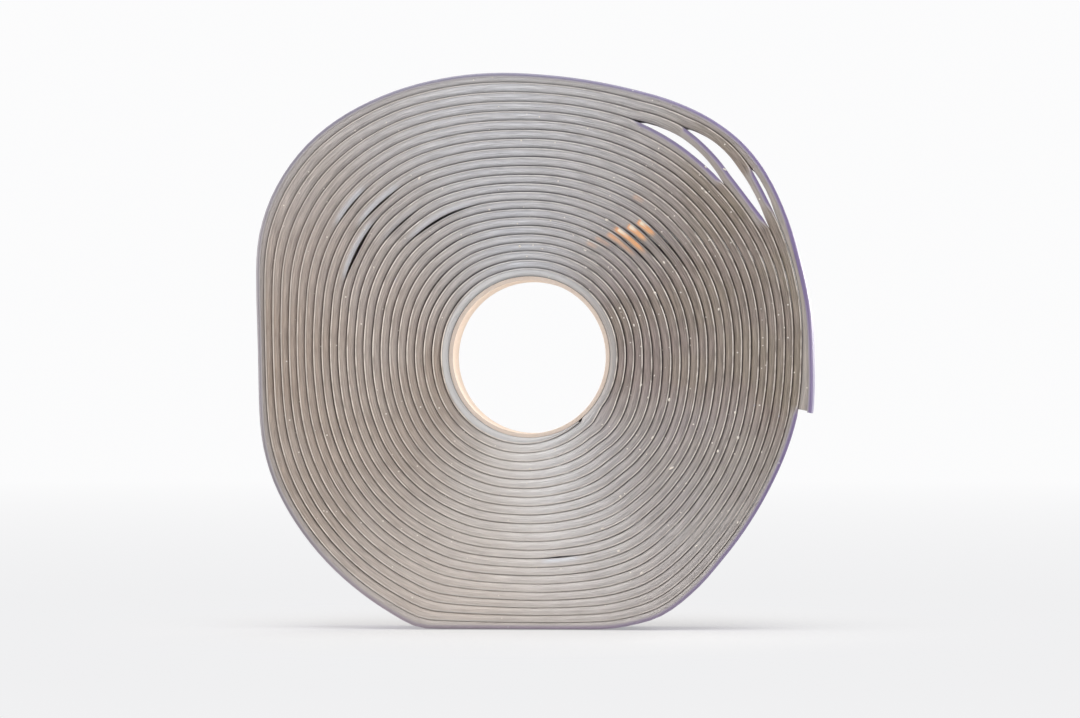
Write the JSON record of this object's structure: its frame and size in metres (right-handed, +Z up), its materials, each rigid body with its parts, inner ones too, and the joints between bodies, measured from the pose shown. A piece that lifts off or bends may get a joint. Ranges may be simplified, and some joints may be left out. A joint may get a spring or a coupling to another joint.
{
  "type": "roll of butyl tape",
  "caption": "Slumped roll of grey butyl sealing tape with violet release film, wound on a cardboard core, standing on its flattened side, with a free end that lifts and peels.",
  "frame": {"origin": "middle of the overall width and depth, at the bottom of the flattened side that the roll stands on", "axes": "+Z up, Y along the roll's axis with the shown face towards -Y, +X towards the free end of the tape"},
  "size_m": [0.1974, 0.025, 0.197],
  "materials": {
    "cardboard": "raw brown board",
    "butyl": "matt, tacky grey compound",
    "release_film": "thin violet film with a satin gloss"
  },
  "bodies": {
    "roll": {"core_tube": "cardboard", "butyl_winding": "butyl", "film_winding": "release_film"},
    "free_end": {"butyl_tail": "butyl", "film_tail": "release_film"},
    "peeled_film": {"film_tab": "release_film"}
  },
  "joints": [
    {"name": "end_lift", "type": "hinge", "parent": "roll", "child": "free_end", "pos_m": [0.09295, 0, 0.1359], "axis": [0, -1, 0], "range_deg": [0, 60]},
    {"name": "film_peel", "type": "hinge", "parent": "free_end", "child": "peeled_film", "pos_m": [0.09869, 0, 0.09635], "axis": [0, -1, 0], "range_deg": [0, 120]}
  ]
}
